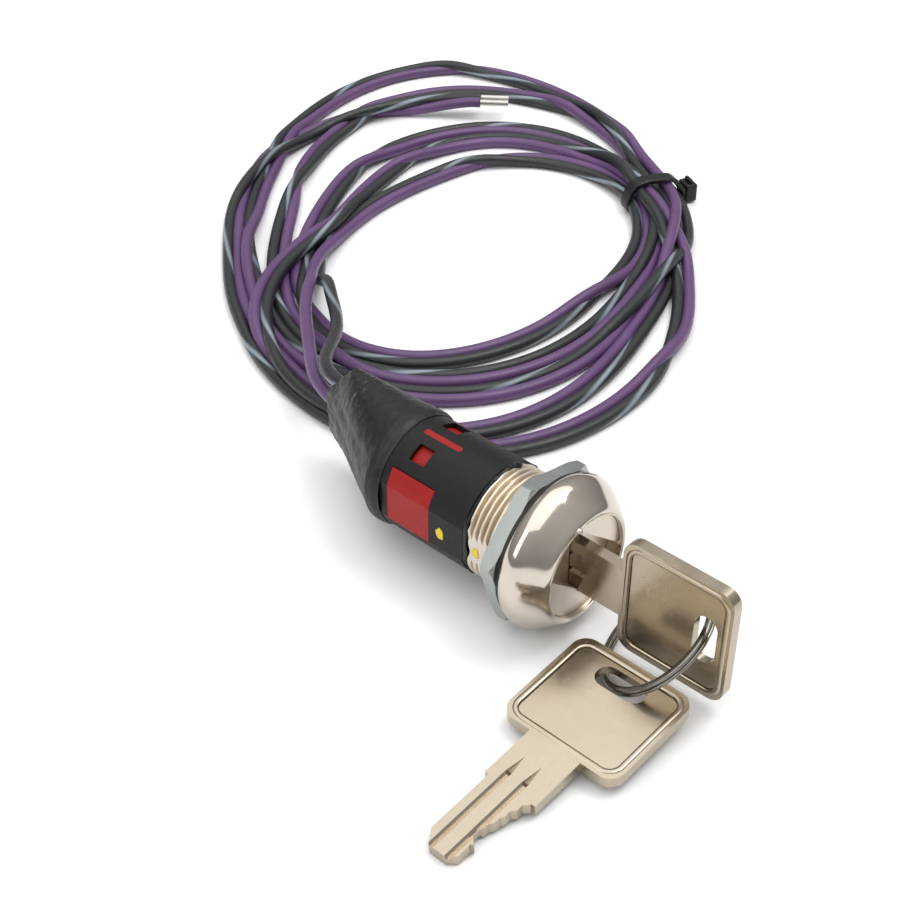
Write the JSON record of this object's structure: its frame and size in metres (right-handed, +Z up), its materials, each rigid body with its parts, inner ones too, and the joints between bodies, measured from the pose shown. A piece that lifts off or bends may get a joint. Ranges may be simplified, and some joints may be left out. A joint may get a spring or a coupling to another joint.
{
  "type": "panel-mount key switch",
  "caption": "Round panel-mount key switch with a domed head, hexagon nut, keyed plug, rotary contacts, shrink boot, coiled leads, and a spare key on a split ring.",
  "frame": {"origin": "on the switch's axis, at the rear face of the nut, where the panel's front face seats", "axes": "+Y along the axis from the key towards the leads, +Z up as the switch lies on a table, +X to the right seen from the key's side"},
  "size_m": [0.2264, 0.2228, 0.03],
  "materials": {
    "nickel": "polished warm nickel plate on die-cast zinc",
    "plug_nickel": "satin warm nickel plate",
    "key_nickel": "satin nickel plate on brass, tumbled edges",
    "zinc": "zinc plate",
    "steel": "bright steel",
    "ring_steel": "nickel-plated spring steel",
    "brass": "stamped brass",
    "tin": "tin",
    "black_rubber": "matt black",
    "black_plastic": "satin black moulded plastic",
    "ivory_plastic": "moulded plastic",
    "red_plastic": "red moulded plastic",
    "black_shrink": "satin black heat-shrink",
    "yellow_paint": "paint",
    "purple_pvc": "satin purple sheath",
    "black_pvc": "satin black sheath with a pale spiral tracer"
  },
  "bodies": {
    "switch": {"lock_body": "nickel", "sealing_gasket": "black_rubber", "hex_nut": "zinc", "detent_ball": "steel", "detent_spring": "steel", "contact_block": "red_plastic", "fixed_contacts": "brass", "solder_joints": "tin", "housing": "black_plastic", "sealing_bead": "black_rubber", "paint_dots": "yellow_paint", "shrink_boot": "black_shrink", "purple_lead": "purple_pvc", "black_lead": "black_pvc", "lead_coil": "purple_pvc", "lead_ends": "tin", "tie_strap": "black_plastic", "tie_head": "black_plastic"},
    "plug_body": {"plug": "plug_nickel", "wafers": "brass", "wafer_springs": "steel", "stop_pin": "steel", "retaining_clip": "steel", "contact_rotor": "ivory_plastic", "contact_wiper": "brass", "wiper_spring": "steel", "rotor_screw": "steel", "rotor_washer": "steel"},
    "key_body": {"inserted_key": "key_nickel"},
    "ring_body": {"split_ring": "ring_steel"},
    "spare_body": {"spare_key": "key_nickel"}
  },
  "joints": [
    {"name": "key_turn", "type": "hinge", "parent": "switch", "child": "plug_body", "pos_m": [0, 0, 0], "axis": [0, 1, 0], "range_deg": [0, 90]},
    {"name": "key_slide", "type": "slide", "parent": "plug_body", "child": "key_body", "axis": [0, -1, 0], "range_m": [0, 0.02]},
    {"name": "ring_swing", "type": "hinge", "parent": "key_body", "child": "ring_body", "pos_m": [0, -0.037, 0.0003], "axis": [1, 0, 0], "range_deg": [-75, 8]},
    {"name": "spare_swing", "type": "hinge", "parent": "ring_body", "child": "spare_body", "pos_m": [-0.0108, -0.02877, -0.0106], "axis": [-0.1481, -0.8323, 0.5342], "range_deg": [-15, 50]}
  ]
}
